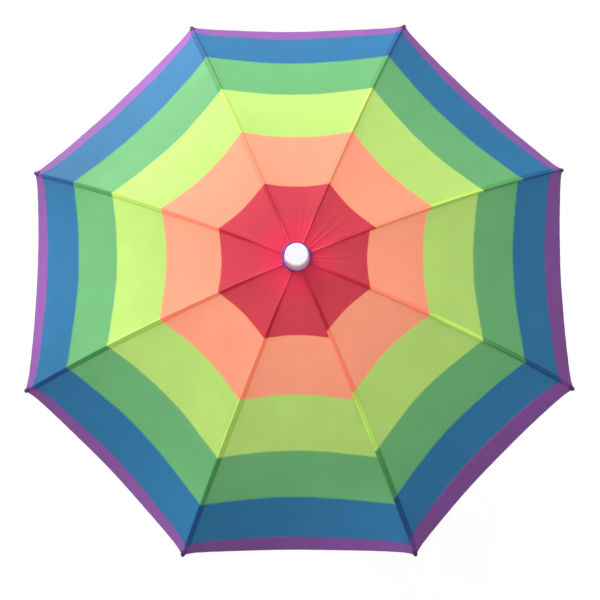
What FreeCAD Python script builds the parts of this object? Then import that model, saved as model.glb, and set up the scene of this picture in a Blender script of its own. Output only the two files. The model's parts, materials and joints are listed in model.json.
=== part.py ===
"""Beach umbrella: two-piece telescoping pole with a push-button tilt joint, and an eight-rib dome.

Frame: millimetres, +Z up, origin at the tip of the ground spike on the pole's axis.
The canopy opens like any umbrella: eight ribs hinge on a wire round the crown hub, and eight
struts join them to the runner. Each strut is exactly as long as the stretch of rib from the crown
wire to its own rivet, so the runner's wire stays straight below the crown's at every angle.
"""
import FreeCAD, Part
import math
import os

import Sketcher

doc = FreeCAD.newDocument("beach_umbrella")
sheet = doc.addObject("Spreadsheet::Sheet", "Dims")
UP = FreeCAD.Vector(0, 0, 1)
RIGHT = FreeCAD.Vector(1, 0, 0)
AWAY = FreeCAD.Vector(0, 1, 0)
EXTRA = 1.0  # how far a cutting tool runs past the face it opens
THROUGH = 20.0  # reach of a tool that only has to clear the pole
SOCKET_FLOOR = 6.0  # solid end of a cup that holds a tube


class Dim:
    """A size: its formula over the sheet's cells, and the value that formula has now."""

    def __init__(self, text, value):
        self.text = text
        self.value = value

    def __add__(self, other):
        other = as_dim(other)
        return Dim(f"({self.text} + {other.text})", self.value + other.value)

    def __sub__(self, other):
        other = as_dim(other)
        return Dim(f"({self.text} - {other.text})", self.value - other.value)

    def __rsub__(self, other):
        return as_dim(other) - self

    def __mul__(self, other):
        other = as_dim(other)
        return Dim(f"({self.text} * {other.text})", self.value * other.value)

    def __neg__(self):
        return Dim(f"(-1 * {self.text})", -self.value)


def as_dim(value):
    return value if isinstance(value, Dim) else Dim(f"{float(value):.6f}", float(value))


def driving(name, value):
    """Puts one driving dimension in the next row of the sheet."""
    driving.row += 1
    sheet.set(f"A{driving.row}", name)
    sheet.set(f"B{driving.row}", str(value))
    sheet.setAlias(f"B{driving.row}", name)
    return Dim(f"Dims.{name}", float(value))


driving.row = 0

# ---- driving dimensions (mm, degrees) ----
rib_count = 8
first_rib = driving("first_rib_azimuth", 22.5)
rib_pitch = driving("rib_pitch", 360 / rib_count)
crown_z = driving("crown_pivot_height", 1600)
pivot_circle = driving("pivot_circle_radius", 16)
rib_bend = driving("rib_bend_radius", 990)
rib_start = driving("rib_start_slope", 0.7)
rib_sweep = driving("rib_sweep_angle", 36.3)
rib_r = driving("rib_wire_radius", 1.8)
rib_eye_r = driving("rib_eye_radius", 2.6)
rib_eye_half = driving("rib_eye_half_width", 2.0)
joiner_angle = driving("joiner_station_angle", 17.4)
joiner_drop = driving("joiner_rivet_drop", 6)
strut_half_height = driving("strut_half_height", 2.5)
strut_half_width = driving("strut_half_width", 1.2)
rivet_r = driving("rivet_radius", 1.0)
wire_r = driving("pivot_wire_radius", 0.9)
eye_hole_r = driving("eye_hole_radius", 1.05)
slot_gap = driving("slot_side_clearance", 0.2)
tip_ball_r = driving("rib_tip_ball_radius", 4)
hub_r = driving("hub_radius", 19)
hub_slot_inner = driving("hub_slot_inner_radius", 12.8)
wheel_half = driving("hub_half_height", 5)
tube_r = driving("upper_tube_radius", 9.5)
lower_r = driving("lower_tube_radius", 11)
wall = driving("tube_wall", 1)
seat_gap = driving("seated_clearance", 0.02)
wire_gap = driving("rib_wire_clearance", 0.05)
slide_gap = driving("sliding_clearance", 0.1)
spike_height = driving("spike_height", 60)
lower_top = driving("lower_tube_top", 560)
depth_ring_z = driving("depth_ring_height", 360)
middle_bottom = driving("middle_tube_bottom", 460)
collar_bottom = driving("collar_bottom", 530)
collar_top = driving("collar_top", 594)
collar_r = driving("collar_radius", 17)
knob_z = driving("knob_axis_height", 577)
knob_r = driving("knob_radius", 14)
screw_r = driving("knob_screw_radius", 2.95)
tilt_z = driving("tilt_axis_height", 895)
knuckle_r = driving("tilt_knuckle_radius", 11)
knuckle_base_r = driving("tilt_base_radius", 16.5)
tongue_half = driving("tilt_tongue_half_width", 6.3)
cheek_inner = driving("tilt_cheek_inner", 6.5)
cheek_outer = driving("tilt_cheek_outer", 12)
knuckle_gap = driving("tilt_shoulder_distance", 13)
socket_depth = driving("tube_socket_depth", 30)
pin_r = driving("tilt_pin_radius", 3)
button_r = driving("tilt_button_radius", 2.15)
button_rise = driving("tilt_button_offset", 6.6)
runner_length = driving("runner_sleeve_length", 55)
runner_r = driving("runner_sleeve_radius", 13.5)
cap_base_r = driving("cap_base_radius", 24.5)
cap_top_r = driving("cap_top_radius", 21.8)
cap_height = driving("cap_height", 32)
cap_wall = driving("cap_wall", 2.2)
cap_lift = driving("cap_base_above_pivots", 6.5)
cap_round = driving("cap_edge_rounding", 3)
rosette_r = driving("rosette_radius", 28)
cloth_gap = driving("cloth_above_rib_centre", 3.0)
cloth_thick = driving("cloth_thickness", 0.8)
cloth_inner = driving("cloth_inner_radius", 21)
cloth_pocket = driving("cloth_corner_before_tip", 7)
hem_bow = driving("hem_bow_ratio", 0.04)
cloth_side_gap = driving("cloth_side_gap_angle", 0.05)
doc.recompute()


# ---- how the pieces are made ----
def bind(thing, **sizes):
    for name, size in sizes.items():
        size = as_dim(size)
        setattr(thing, name, size.value)
        thing.setExpression(name, size.text)


def put(thing, at=(0, 0, 0), axis=UP, angle=0.0):
    """Places an object: a turn about an axis, then a move bound to the sheet."""
    base = FreeCAD.Vector(*[as_dim(value).value for value in at])
    thing.Placement = FreeCAD.Placement(base, FreeCAD.Rotation(axis, angle))
    for letter, value in zip("xyz", at):
        thing.setExpression(f"Placement.Base.{letter}", as_dim(value).text)
    return thing


def cylinder(radius, height, at=(0, 0, 0), axis=UP, angle=0.0):
    thing = doc.addObject("Part::Cylinder", "Cylinder")
    bind(thing, Radius=radius, Height=height)
    return put(thing, at, axis, angle)


def cylinder_y(radius, low, high, x=0, z=0):
    """A cylinder along Y from low to high."""
    return cylinder(radius, as_dim(high) - low, (x, high, z), RIGHT, 90)


def box(x, y, z, turn=0.0):
    """A box from three (low, high) pairs, turned about the pole's axis."""
    thing = doc.addObject("Part::Box", "Box")
    low_x, low_y, low_z = [as_dim(low) for low, high in (x, y, z)]
    bind(thing, Length=x[1] - low_x, Width=y[1] - low_y, Height=z[1] - low_z)
    cosine, sine = math.cos(math.radians(turn)), math.sin(math.radians(turn))
    corner = low_x * cosine - low_y * sine, low_x * sine + low_y * cosine, low_z
    return put(thing, corner, UP, turn)


def torus(ring, section, z=0, sweep=360, start=0.0):
    thing = doc.addObject("Part::Torus", "Torus")
    bind(thing, Radius1=ring, Radius2=section, Angle3=sweep)
    return put(thing, (0, 0, z), UP, start)


def fuse(pieces):
    thing = doc.addObject("Part::MultiFuse", "Fusion")
    thing.Shapes = pieces
    return thing


def together(pieces):
    """Separate solids kept in one sub-part."""
    thing = doc.addObject("Part::Compound", "Group")
    thing.Links = pieces
    return thing


def cut(base, tools):
    thing = doc.addObject("Part::Cut", "Cut")
    thing.Base = base
    thing.Tool = fuse(tools) if len(tools) > 1 else tools[0]
    return thing


def origin_plane(body, role):
    return next(plane for plane in body.Origin.OriginFeatures if plane.Role == role)


def revolved(points):
    """A body turned about Z from a closed outline of (radius, height) points."""
    body = doc.addObject("PartDesign::Body", "Body")
    outline = body.newObject("Sketcher::SketchObject", "Outline")
    outline.AttachmentSupport = (origin_plane(body, "XZ_Plane"), [""])
    outline.MapMode = "FlatFace"
    points = [(as_dim(radius), as_dim(height)) for radius, height in points]
    corners = [FreeCAD.Vector(radius.value, height.value, 0) for radius, height in points]
    for start, end in zip(corners, corners[1:] + corners[:1]):
        outline.addGeometry(Part.LineSegment(start, end), False)
    for i, (radius, height) in enumerate(points):
        outline.addConstraint(Sketcher.Constraint("Coincident", i - 1 if i else len(points) - 1, 2, i, 1))
        for kind, axis_line, size in (("DistanceX", -2, radius), ("DistanceY", -1, height)):
            if size.value == 0:
                outline.addConstraint(Sketcher.Constraint("PointOnObject", i, 1, axis_line))
            else:
                number = outline.addConstraint(Sketcher.Constraint(kind, -1, 1, i, 1, size.value))
                outline.setExpression(f"Constraints[{number}]", size.text)
    turned = body.newObject("PartDesign::Revolution", "Turned")
    turned.Profile = outline
    turned.ReferenceAxis = (outline, ["V_Axis"])
    turned.Angle = 360
    outline.Visibility = False
    return body


nodes = {}


def node(name, thing, placement=None):
    """Registers a finished sub-part under its name, with its place in the umbrella."""
    thing.Label = name
    if placement is not None:
        thing.Placement = placement
    nodes[name] = thing


# ---- places round the pole ----
def outward(azimuth):
    turn = math.radians(azimuth)
    return FreeCAD.Vector(math.cos(turn), math.sin(turn), 0)


def sideways(azimuth):
    turn = math.radians(azimuth)
    return FreeCAD.Vector(-math.sin(turn), math.cos(turn), 0)


def rib_frame(azimuth, station=0.0):
    """Origin at the rib's centre of bend, x towards the rib at the station, y along the rib."""
    out = outward(azimuth)
    start = math.radians(rib_start.value)
    bend = rib_bend.value
    centre = out * (pivot_circle.value - bend * math.sin(start))
    centre += UP * (crown_z.value - bend * math.cos(start))
    here = start + math.radians(station)
    towards = out * math.sin(here) + UP * math.cos(here)
    along = out * math.cos(here) - UP * math.sin(here)
    return FreeCAD.Placement(centre, FreeCAD.Rotation(towards, along, sideways(azimuth), "XYZ"))


def rivet_place():
    """Radius and height of the rivet that joins a strut to its rib."""
    start = math.radians(rib_start.value)
    here = start + math.radians(joiner_angle.value)
    reach = rib_bend.value - joiner_drop.value
    radius = pivot_circle.value - rib_bend.value * math.sin(start) + reach * math.sin(here)
    height = crown_z.value - rib_bend.value * math.cos(start) + reach * math.cos(here)
    return radius, height


rivet_radius, rivet_height = rivet_place()
runner_z = Dim(
    "(Dims.crown_pivot_height - 2 * (Dims.rib_bend_radius * cos(Dims.rib_start_slope)"
    " - (Dims.rib_bend_radius - Dims.joiner_rivet_drop)"
    " * cos(Dims.rib_start_slope + Dims.joiner_station_angle)))",
    2 * rivet_height - crown_z.value,
)
strut_length = Dim(
    "(sqrt(Dims.rib_bend_radius ^ 2 + (Dims.rib_bend_radius - Dims.joiner_rivet_drop) ^ 2"
    " - 2 * Dims.rib_bend_radius * (Dims.rib_bend_radius - Dims.joiner_rivet_drop)"
    " * cos(Dims.joiner_station_angle)))",
    math.hypot(rivet_radius - pivot_circle.value, crown_z.value - rivet_height),
)


def strut_frame(azimuth):
    """Origin on the runner's wire, x towards the rivet on the rib."""
    out = outward(azimuth)
    start = out * pivot_circle.value + UP * runner_z.value
    towards = out * rivet_radius + UP * rivet_height - start
    towards.normalize()
    across = sideways(azimuth)
    return FreeCAD.Placement(start, FreeCAD.Rotation(towards, across.cross(towards), across, "XYZ"))


def azimuths():
    return [first_rib.value + rib_pitch.value * k for k in range(rib_count)]


# ---- lower pole ----
def ground_spike():
    """Blunt cone with a plug that is pressed into the lower tube."""
    point_r, inset, straight, plug_length, bevel = 1.2, 0.6, 14, 40, 1.5
    plug_r = lower_r - wall - seat_gap
    plug_top = spike_height + plug_length
    return revolved([
        (0, 0), (point_r, 0), (lower_r - inset, spike_height - straight),
        (lower_r - inset, spike_height), (plug_r, spike_height), (plug_r, plug_top - bevel),
        (plug_r - bevel, plug_top), (0, plug_top),
    ])


def lower_pole_tube():
    """Tube with a shallow ring pressed round it, which marks how deep it goes into the sand."""
    ring_depth, ring_width = 0.4, 2
    return revolved([
        (lower_r - wall, spike_height), (lower_r, spike_height), (lower_r, depth_ring_z),
        (lower_r - ring_depth, depth_ring_z), (lower_r - ring_depth, depth_ring_z + ring_width),
        (lower_r, depth_ring_z + ring_width), (lower_r, lower_top), (lower_r - wall, lower_top),
    ])


def height_collar():
    """Collar on the lower tube's end: the middle tube slides through it, past the knob's screw."""
    boss_r, boss_reach, bevel, reach = 8, 22, 1.5, 40
    inner_low = lower_r + seat_gap
    inner_high = tube_r + slide_gap
    shoulder = lower_top + seat_gap
    sleeve = revolved([
        (inner_low, collar_bottom), (collar_r - bevel, collar_bottom),
        (collar_r, collar_bottom + bevel), (collar_r, collar_top - bevel),
        (collar_r - bevel, collar_top), (inner_high, collar_top), (inner_high, shoulder),
        (inner_low, shoulder),
    ])
    boss = cylinder(boss_r, boss_reach, (0, 0, knob_z), AWAY, 90)
    bore = cylinder(inner_high, reach, (0, 0, shoulder))
    screw_hole = cylinder(screw_r + wire_gap, reach, (0, 0, knob_z), AWAY, 90)
    lower_tube = cylinder(inner_low, reach, (0, 0, shoulder - reach))
    return cut(fuse([sleeve, boss]), [bore, screw_hole, lower_tube])


def clamp_knob():
    """Star knob on a screw, made along Z and laid along X."""
    head_low, head_high, hub_height, hub_inset = 23, 36, 3, 6
    lobes, scallop_r, scallop_out = 6, 4, 1.2
    screw_low = tube_r + slide_gap * 4
    head = cylinder(knob_r, head_high - head_low, (0, 0, head_low))
    hub = cylinder(knob_r - hub_inset, hub_height, (0, 0, head_high))
    screw = cylinder(screw_r, head_low - screw_low, (0, 0, screw_low))
    scallops = []
    for lobe in range(lobes):
        turn = math.radians(360 / lobes * lobe)
        ring = knob_r + scallop_out
        centre = ring * math.cos(turn), ring * math.sin(turn), head_low - EXTRA
        scallops.append(cylinder(scallop_r, THROUGH, centre))
    return cut(fuse([head, hub, screw]), scallops)


# ---- middle pole and tilt joint ----
def middle_pole_tube():
    top = tilt_z - knuckle_gap - SOCKET_FLOOR
    return revolved([
        (tube_r - wall, middle_bottom), (tube_r, middle_bottom), (tube_r, top), (tube_r - wall, top),
    ])


def middle_tube_bush():
    """Guide on the middle tube's lower end, which slides inside the lower tube."""
    bore, head, stub_length, bevel = 6.5, 8, 15, 1
    outer = lower_r - wall - slide_gap
    stub = tube_r - wall - seat_gap
    bottom = middle_bottom - head
    top = middle_bottom + stub_length
    return revolved([
        (bore, bottom), (outer - bevel, bottom), (outer, bottom + bevel), (outer, middle_bottom),
        (stub, middle_bottom), (stub, top), (bore, top),
    ])


def tilt_yoke():
    """Cup over the middle tube, with two cheeks that carry the tilt pin."""
    bevel, taper_in, taper_height, root = 1.5, 3, 8, 2
    top = tilt_z - knuckle_gap
    bottom = top - socket_depth - SOCKET_FLOOR
    bore = tube_r + seat_gap
    cup = revolved([
        (bore, bottom), (knuckle_base_r - taper_in, bottom),
        (knuckle_base_r, bottom + taper_height), (knuckle_base_r, top - bevel),
        (knuckle_base_r - bevel, top), (0, top), (0, top - SOCKET_FLOOR),
        (bore, top - SOCKET_FLOOR),
    ])
    solids = [cup]
    for low, high in ((cheek_inner, cheek_outer), (-cheek_outer, -cheek_inner)):
        solids.append(box((-knuckle_r, knuckle_r), (low, high), (top - root, tilt_z)))
        solids.append(cylinder_y(knuckle_r, low, high, z=tilt_z))
    pin_hole = cylinder_y(pin_r + seat_gap, -THROUGH, THROUGH, z=tilt_z)
    button_hole = cylinder_y(button_r + slide_gap, 0, THROUGH, z=tilt_z + button_rise)
    return cut(fuse(solids), [pin_hole, button_hole])


def tilt_tongue():
    """Knuckle between the cheeks, with the cup that holds the upper tube. The ring-shaped recess
    gives the pressed button room at every tilt."""
    bevel, taper_in, taper_height, root = 1.5, 3, 8, 2
    recess_depth, recess_in, recess_out = 3.4, 4.2, 9.0
    bottom = tilt_z + knuckle_gap
    top = bottom + socket_depth + SOCKET_FLOOR
    bore = tube_r + seat_gap
    cup = revolved([
        (0, bottom), (knuckle_base_r - bevel, bottom), (knuckle_base_r, bottom + bevel),
        (knuckle_base_r, top - taper_height), (knuckle_base_r - taper_in, top), (bore, top),
        (bore, bottom + SOCKET_FLOOR), (0, bottom + SOCKET_FLOOR),
    ])
    blade = box((-knuckle_r, knuckle_r), (-tongue_half, tongue_half), (tilt_z, bottom + root))
    eye = cylinder_y(knuckle_r, -tongue_half, tongue_half, z=tilt_z)
    pin_hole = cylinder_y(pin_r + wire_gap, -THROUGH, THROUGH, z=tilt_z)
    recess = cut(
        cylinder_y(recess_out, tongue_half - recess_depth, THROUGH, z=tilt_z),
        [cylinder_y(recess_in, 0, THROUGH + EXTRA, z=tilt_z)],
    )
    return cut(fuse([cup, blade, eye]), [pin_hole, recess])


def tilt_pin():
    head_r, head_thick = 5, 1.6
    shank = cylinder_y(pin_r, -cheek_outer, cheek_outer, z=tilt_z)
    head = cylinder_y(head_r, -cheek_outer - head_thick, -cheek_outer, z=tilt_z)
    return fuse([shank, head])


def tilt_button():
    head_r, head_gap, head_thick = 3.6, 3, 2.4
    height = tilt_z + button_rise
    shank = cylinder_y(button_r, cheek_inner + slide_gap, cheek_outer + head_gap, z=height)
    head = cylinder_y(head_r, cheek_outer + head_gap, cheek_outer + head_gap + head_thick, z=height)
    return fuse([shank, head])


def tilt_spring():
    """Coned washer under the button's head, made along Z and laid along Y."""
    return revolved([(2.5, 2.4), (3.4, 0.1), (3.8, 0.1), (2.9, 2.8), (2.5, 2.8)])


# ---- upper pole and crown ----
def catch_height():
    """Height of the catch that holds the open runner up, just below its sleeve."""
    return runner_z - runner_length - 4.5


def upper_pole_tube():
    above_pivots, catch_hole_r = 10, 3.2
    bottom = tilt_z + knuckle_gap + SOCKET_FLOOR
    top = crown_z + above_pivots
    tube = revolved([
        (tube_r - wall, bottom), (tube_r, bottom), (tube_r, top), (tube_r - wall, top),
    ])
    return cut(tube, [cylinder(catch_hole_r, THROUGH, (0, 0, catch_height()), AWAY, 90)])


def runner_catch():
    """Sprung button under the open runner, made along Z and laid along X."""
    foot_r, foot_low, foot_high = 4.2, 4.6, 7.0
    nose_r, nose_bend, nose_tip_r, nose_tip = 3.0, 12.2, 1.8, 13.6
    return revolved([
        (0, foot_low), (foot_r, foot_low), (foot_r, foot_high), (nose_r, foot_high),
        (nose_r, nose_bend), (nose_tip_r, nose_tip), (0, nose_tip),
    ])


def wheel_slots(half_width, low, high):
    """Radial slots for the rib or strut eyes in a wheel."""
    return [
        box((hub_slot_inner, hub_r + EXTRA), (-half_width, half_width), (low, high), azimuth)
        for azimuth in azimuths()
    ]


def wire_groove(centre, low, high):
    """Annular groove that lets the wire into the wheel from one side."""
    height = high - low
    outer = cylinder(pivot_circle + wire_r, height, (0, 0, low))
    inner = cylinder(pivot_circle - wire_r, height + 2 * EXTRA, (0, 0, low - EXTRA))
    return [torus(pivot_circle, wire_r, centre), cut(outer, [inner])]


def crown_hub():
    """Slotted wheel on the upper tube, open below, that holds the rib ends on their wire."""
    bore, top_rise, bevel, slot_rise = tube_r + seat_gap, 6, 1.2, 0.5
    bottom = crown_z - wheel_half
    top = crown_z + top_rise
    wheel = revolved([
        (bore, bottom), (hub_r - bevel, bottom), (hub_r, bottom + bevel), (hub_r, top - bevel),
        (hub_r - bevel, top), (bore, top),
    ])
    slots = wheel_slots(rib_eye_half + slot_gap, bottom - EXTRA, crown_z + rib_eye_r + slot_rise)
    return cut(wheel, slots + wire_groove(crown_z, bottom - EXTRA, crown_z))


def runner():
    """Sleeve on the pole: a slotted wheel for the strut ends on top, a finger flange below."""
    bore, bevel = tube_r + slide_gap, 1.2
    flange_out, flange_height, flange_top, neck, slot_drop = 4.5, 4, 9, 12, 3.2
    bottom = runner_z - runner_length
    top = runner_z + wheel_half
    flange_r = runner_r + flange_out
    sleeve = revolved([
        (bore, bottom), (flange_r - 1, bottom), (flange_r, bottom + 1),
        (flange_r, bottom + flange_height), (runner_r, bottom + flange_top),
        (runner_r, runner_z - neck), (hub_r, runner_z - wheel_half - 1), (hub_r, top - bevel),
        (hub_r - bevel, top), (bore, top),
    ])
    slots = wheel_slots(strut_half_width + slot_gap, runner_z - slot_drop, top + EXTRA)
    return cut(sleeve, slots + wire_groove(runner_z, runner_z, top + EXTRA))


def top_cap():
    """Tapered cap with a rounded top edge and a plug that presses into the upper tube."""
    plug_depth, bevel, lip = 6, 1, 2
    base = crown_z + cap_lift
    top = base + cap_height
    plug_r = tube_r - wall - slide_gap
    plug_bottom = crown_z - plug_depth
    body = revolved([
        (0, plug_bottom), (plug_r - bevel, plug_bottom), (plug_r, plug_bottom + bevel),
        (plug_r, top - cap_wall), (cap_top_r - cap_wall, top - cap_wall),
        (cap_base_r - cap_wall, base), (cap_base_r, base), (cap_base_r, base + lip),
        (cap_top_r, top), (0, top),
    ])
    doc.recompute()
    turned = body.Tip
    rim = [
        f"Edge{i + 1}" for i, edge in enumerate(turned.Shape.Edges)
        if abs(edge.BoundBox.ZMin - top.value) < 1e-4 and edge.BoundBox.ZLength < 1e-4
        and edge.BoundBox.XMax > 1
    ]
    rounded = body.newObject("PartDesign::Fillet", "RoundedRim")
    rounded.Base = (turned, rim)
    bind(rounded, Radius=cap_round)
    body.Tip = rounded
    return body


def cap_rosette():
    """Round of cloth between the hub and the cap, its edge drooping onto the canopy."""
    inner, flat, thick = tube_r + slide_gap, hub_r, 0.8
    low, edge_low = crown_z + 6.1, crown_z + 4.5
    return revolved([
        (inner, low), (flat, low), (rosette_r, edge_low), (rosette_r, edge_low + thick),
        (flat, low + thick), (inner, low + thick),
    ])


# ---- ribs and struts, each made in its own flat frame ----
def rib():
    """Steel wire bent to one radius, with an eye at the crown end."""
    wire = torus(rib_bend, rib_r, sweep=rib_sweep)
    eye = cylinder(rib_eye_r, rib_eye_half * 2, (rib_bend, 0, -rib_eye_half))
    hole = cylinder(eye_hole_r, rib_eye_half * 2 + 2 * EXTRA, (rib_bend, 0, -rib_eye_half - EXTRA))
    return cut(fuse([wire, eye]), [hole])


def rib_tip():
    """Ball on the rib's end, with a short sleeve over the wire."""
    sleeve_r, sleeve_length = 2.8, 7
    ball = doc.addObject("Part::Sphere", "Sphere")
    bind(ball, Radius=tip_ball_r)
    put(ball, (rib_bend, 0, 0))
    sleeve = cylinder(sleeve_r, sleeve_length, (rib_bend, 0, 0), RIGHT, 90)
    wire_hole = cylinder(rib_r + wire_gap, 2 * sleeve_length, (rib_bend, 0, 0), RIGHT, 90)
    return cut(fuse([ball, sleeve]), [wire_hole])


def rib_joiner():
    """Clip folded round the rib with two ears, and the rivet that the strut turns on."""
    half_length, half_width, above, below = 7, 3.2, 2.5, 8.4
    head_r, head_thick = 1.9, 0.7
    pivot_x = rib_bend - joiner_drop
    block = box((rib_bend - below, rib_bend + above), (-half_length, half_length),
                (-half_width, half_width))
    ears_gap = box((rib_bend - below - EXTRA, pivot_x + strut_half_height + slot_gap),
                   (-half_length - EXTRA, half_length + EXTRA),
                   (-strut_half_width - slot_gap, strut_half_width + slot_gap))
    wire_hole = cylinder(rib_r + wire_gap, 4 * half_length, (rib_bend, 2 * half_length, 0), RIGHT, 90)
    hole = cylinder(rivet_r, 2 * half_width + 2 * EXTRA, (pivot_x, 0, -half_width - EXTRA))
    clip = cut(block, [ears_gap, wire_hole, hole])
    shank = cylinder(rivet_r, 2 * half_width, (pivot_x, 0, -half_width))
    heads = [
        cylinder(head_r, head_thick, (pivot_x, 0, low))
        for low in (-half_width - head_thick, half_width)
    ]
    return together([clip, fuse([shank] + heads)])


def strut():
    """Channel-section bar with a rounded eye at each end."""
    solid_end, floor_drop, flange = 9, 0.8, 0.6
    half = strut_half_width
    bar = box((0, strut_length), (-strut_half_height, strut_half_height), (-half, half))
    ends = [cylinder(strut_half_height, half * 2, (at, 0, -half)) for at in (0, strut_length)]
    holes = [
        cylinder(eye_hole_r, half * 2 + 2 * EXTRA, (at, 0, -half - EXTRA)) for at in (0, strut_length)
    ]
    channel = box((solid_end, strut_length - solid_end), (-floor_drop, strut_half_height + EXTRA),
                  (-half + flange, half - flange))
    return cut(fuse([bar] + ends), holes + [channel])


# ---- canopy ----
def cloth_wire(swing, first, last, squeeze):
    """Closed thin section of the cloth in the upright plane at an angle from its rib.

    The cloth runs straight from rib to rib, so between the ribs it is the rib's curve squeezed
    towards the pole.
    """
    steps = 6
    spread = FreeCAD.Vector(math.cos(swing), math.sin(swing), 0) * squeeze
    start = math.radians(rib_start.value)
    bend = rib_bend.value
    centre_r = pivot_circle.value - bend * math.sin(start)
    centre_z = crown_z.value - bend * math.cos(start)

    def point(slope, lift):
        reach = bend + lift
        return spread * (centre_r + reach * math.sin(slope)) + UP * (centre_z + reach * math.cos(slope))

    slopes = [first + (last - first) * i / steps for i in range(steps + 1)]
    curves = []
    for lift in (cloth_gap.value, cloth_gap.value + cloth_thick.value):
        curve = Part.BSplineCurve()
        curve.interpolate([point(slope, lift) for slope in slopes])
        curves.append(curve.toShape())
    low, high = curves
    hem = Part.makeLine(low.Vertexes[-1].Point, high.Vertexes[-1].Point)
    neck = Part.makeLine(high.Vertexes[0].Point, low.Vertexes[0].Point)
    return Part.Wire([low, hem, high, neck])


def canopy_sector():
    """The cloth on one rib, out to the middle of the panels on both sides."""
    bend = rib_bend.value
    start = math.radians(rib_start.value)
    centre_r = pivot_circle.value - bend * math.sin(start)
    first = math.asin((cloth_inner.value - centre_r) / bend)
    last = start + math.radians(rib_sweep.value) - cloth_pocket.value / bend
    hem_r = centre_r + bend * math.sin(last)
    last_between = math.asin((hem_r * (1 - hem_bow.value) - centre_r) / bend)
    swing = math.radians(rib_pitch.value / 2 - cloth_side_gap.value)
    squeeze = math.cos(swing)
    sections = [
        cloth_wire(-swing, first, last_between, squeeze),
        cloth_wire(0.0, first, last, 1.0),
        cloth_wire(swing, first, last_between, squeeze),
    ]
    thing = doc.addObject("Part::Feature", "Cloth")
    thing.Shape = Part.makeLoft(sections, True, True)
    return thing


# ---- the umbrella ----
node("ground_spike", ground_spike())
node("lower_pole_tube", lower_pole_tube())
node("height_collar", height_collar())
along_x = FreeCAD.Rotation(AWAY, 90)
along_y = FreeCAD.Rotation(RIGHT, -90)
node("clamp_knob", clamp_knob(), FreeCAD.Placement(UP * knob_z.value, along_x))
node("middle_pole_tube", middle_pole_tube())
node("middle_tube_bush", middle_tube_bush())
node("tilt_yoke", tilt_yoke())
node("tilt_tongue", tilt_tongue())
node("tilt_pin", tilt_pin())
node("tilt_button", tilt_button())
spring_seat = UP * (tilt_z + button_rise).value + AWAY * cheek_outer.value
node("tilt_spring", tilt_spring(), FreeCAD.Placement(spring_seat, along_y))
node("upper_pole_tube", upper_pole_tube())
node("runner_catch", runner_catch(), FreeCAD.Placement(UP * catch_height().value, along_x))
node("crown_hub", crown_hub())
node("crown_wire", torus(pivot_circle, wire_r, crown_z))
node("top_cap", top_cap())
node("cap_rosette", cap_rosette())
node("runner", runner())
node("runner_wire", torus(pivot_circle, wire_r, runner_z))
for number, azimuth in enumerate(azimuths(), 1):
    node(f"rib_{number}", rib(), rib_frame(azimuth))
    node(f"rib_tip_{number}", rib_tip(), rib_frame(azimuth, rib_sweep.value))
    node(f"rib_joiner_{number}", rib_joiner(), rib_frame(azimuth, joiner_angle.value))
    node(f"strut_{number}", strut(), strut_frame(azimuth))
    turned = FreeCAD.Placement(FreeCAD.Vector(), FreeCAD.Rotation(UP, azimuth))
    node(f"canopy_sector_{number}", canopy_sector(), turned)

doc.recompute()
for thing in doc.Objects:
    if "Invalid" in thing.State or "Error" in thing.State:
        raise RuntimeError(f"{thing.Label} failed: {thing.State}")
for name, thing in nodes.items():
    if thing.Shape.isNull() or not thing.Shape.isValid() or thing.Shape.Volume <= 0:
        raise RuntimeError(f"{name} has no valid shape")

os.makedirs("parts", exist_ok=True)
for name, thing in nodes.items():
    thing.Shape.exportStep(f"parts/{name}.step")
print(f"{len(nodes)} sub-parts, strut {strut_length.value:.2f} mm, runner at {runner_z.value:.2f} mm")
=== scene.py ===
"""Beach umbrella: the looks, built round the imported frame.

The canopy is one striped cloth over eight ribs. It is cut along the rib seams, along the middle of
each panel and along the edges of its colour rings, only so that each part can fold with its rib.
At rest the parts meet edge to edge, with one set of normals, as one sheet.
"""
import json
import math

import bpy
import numpy as np
from mathutils import Matrix, Vector


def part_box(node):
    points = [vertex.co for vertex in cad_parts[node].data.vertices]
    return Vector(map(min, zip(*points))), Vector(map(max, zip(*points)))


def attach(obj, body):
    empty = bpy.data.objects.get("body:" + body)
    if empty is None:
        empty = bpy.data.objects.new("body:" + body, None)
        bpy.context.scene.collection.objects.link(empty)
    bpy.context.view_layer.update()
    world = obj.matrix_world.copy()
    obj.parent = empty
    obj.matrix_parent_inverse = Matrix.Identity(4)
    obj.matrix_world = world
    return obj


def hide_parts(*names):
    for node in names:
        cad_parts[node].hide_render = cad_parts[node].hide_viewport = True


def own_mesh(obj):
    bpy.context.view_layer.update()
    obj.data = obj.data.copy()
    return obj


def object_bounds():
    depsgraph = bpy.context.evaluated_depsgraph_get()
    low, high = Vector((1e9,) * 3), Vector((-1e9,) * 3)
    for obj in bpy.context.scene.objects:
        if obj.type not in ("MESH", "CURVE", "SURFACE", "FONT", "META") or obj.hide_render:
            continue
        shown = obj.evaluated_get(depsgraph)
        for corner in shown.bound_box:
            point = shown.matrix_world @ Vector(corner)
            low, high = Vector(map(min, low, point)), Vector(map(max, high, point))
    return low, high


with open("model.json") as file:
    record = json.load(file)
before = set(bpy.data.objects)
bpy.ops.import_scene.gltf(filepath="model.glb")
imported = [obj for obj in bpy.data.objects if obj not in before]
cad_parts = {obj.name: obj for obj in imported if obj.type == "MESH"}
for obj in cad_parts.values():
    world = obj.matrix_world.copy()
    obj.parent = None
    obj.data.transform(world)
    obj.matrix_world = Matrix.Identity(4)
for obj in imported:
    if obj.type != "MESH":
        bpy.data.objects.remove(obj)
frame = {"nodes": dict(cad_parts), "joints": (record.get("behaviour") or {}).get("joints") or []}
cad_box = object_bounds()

# ---- the frame's own places ----
joints = {joint["name"]: joint for joint in frame["joints"]}
pivot = Vector(joints["canopy_fold"]["pos_m"])
RIBS = 8
PITCH = 2 * math.pi / RIBS
FIRST = math.atan2(pivot.y, pivot.x)
PIVOT_R = math.hypot(pivot.x, pivot.y)
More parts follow.
